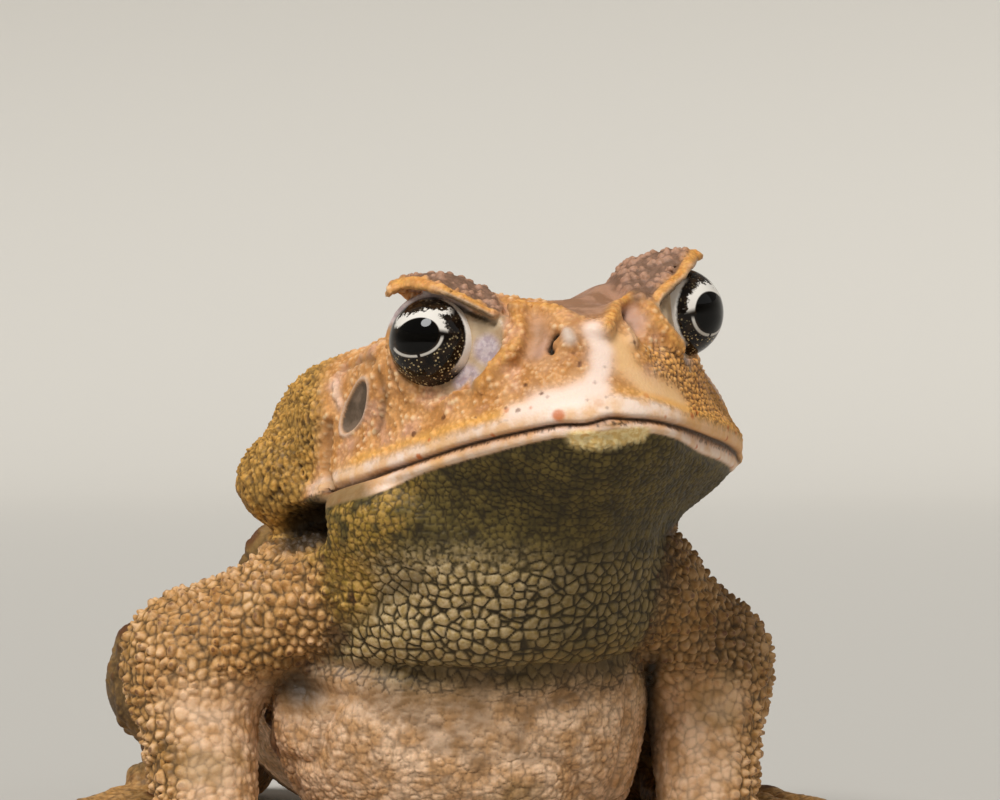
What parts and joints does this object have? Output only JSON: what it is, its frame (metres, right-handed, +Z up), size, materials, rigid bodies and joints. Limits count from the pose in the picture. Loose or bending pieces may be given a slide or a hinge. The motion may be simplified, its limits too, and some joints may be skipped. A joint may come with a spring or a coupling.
{
  "type": "cane toad, still life-size model",
  "caption": "Life-size cane toad sitting up on straight fore legs, hind legs folded at its sides, warty skin, big shoulder glands, head turned to its left.",
  "frame": {"origin": "on the floor, under the middle of the toad's outline seen from above", "axes": "+Z up, the trunk faces -Y, +X is the toad's left side"},
  "size_m": [0.1353, 0.133, 0.0895],
  "materials": {
    "skin": "dry warty toad skin, semi-matt, tan-orange above with dark-tipped warts, olive throat, pinkish-tan chest",
    "eye": "wet and glossy, black-brown iris with gold speckles and a silver band, black oval pupil"
  },
  "bodies": {
    "root": {"head": "skin", "lower_jaw": "skin", "neck": "skin", "trunk": "skin", "parotoid_right": "skin", "upper_arm_right": "skin", "forearm_right": "skin", "hand_right": "skin", "finger_right_1": "skin", "finger_right_2": "skin", "finger_right_3": "skin", "finger_right_4": "skin", "thigh_right": "skin", "shank_right": "skin", "foot_right": "skin", "toe_right_1": "skin", "toe_right_2": "skin", "toe_right_3": "skin", "toe_right_4": "skin", "toe_right_5": "skin", "tympanum_right": "skin", "parotoid_left": "skin", "upper_arm_left": "skin", "forearm_left": "skin", "hand_left": "skin", "finger_left_1": "skin", "finger_left_2": "skin", "finger_left_3": "skin", "finger_left_4": "skin", "thigh_left": "skin", "shank_left": "skin", "foot_left": "skin", "toe_left_1": "skin", "toe_left_2": "skin", "toe_left_3": "skin", "toe_left_4": "skin", "toe_left_5": "skin", "tympanum_left": "skin", "eye_right": "eye", "eye_left": "eye"}
  },
  "joints": []
}
